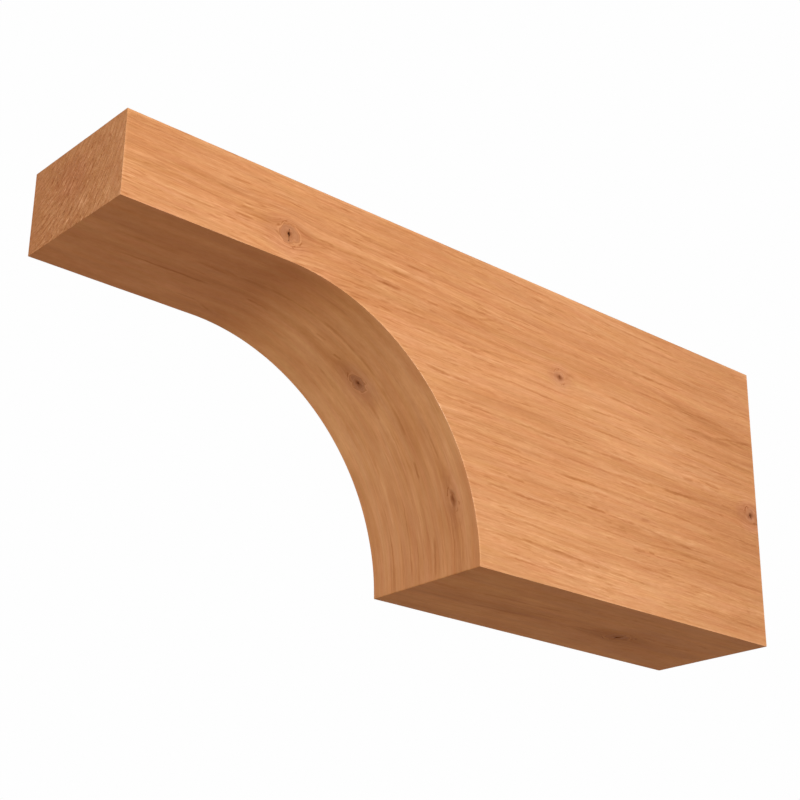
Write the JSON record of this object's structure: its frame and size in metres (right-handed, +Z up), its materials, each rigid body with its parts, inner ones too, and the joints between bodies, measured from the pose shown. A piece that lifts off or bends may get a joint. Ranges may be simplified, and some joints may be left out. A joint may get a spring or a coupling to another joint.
{
  "type": "rafter tail",
  "caption": "Wooden rafter tail: a straight nose, a quarter-round cove sawn out beneath it and a deep square-cut block at the wall end.",
  "frame": {"origin": "on the plane of the flat underside, under the middle of the whole length and width", "axes": "+X runs with the grain from the nose to the wall end, +Z is up, +Y runs across the stick's width"},
  "size_m": [0.5, 0.09, 0.19],
  "materials": {
    "oiled_softwood": "dressed and lightly oiled, satin"
  },
  "bodies": {
    "root": {"rafter_tail": "oiled_softwood"}
  },
  "joints": []
}
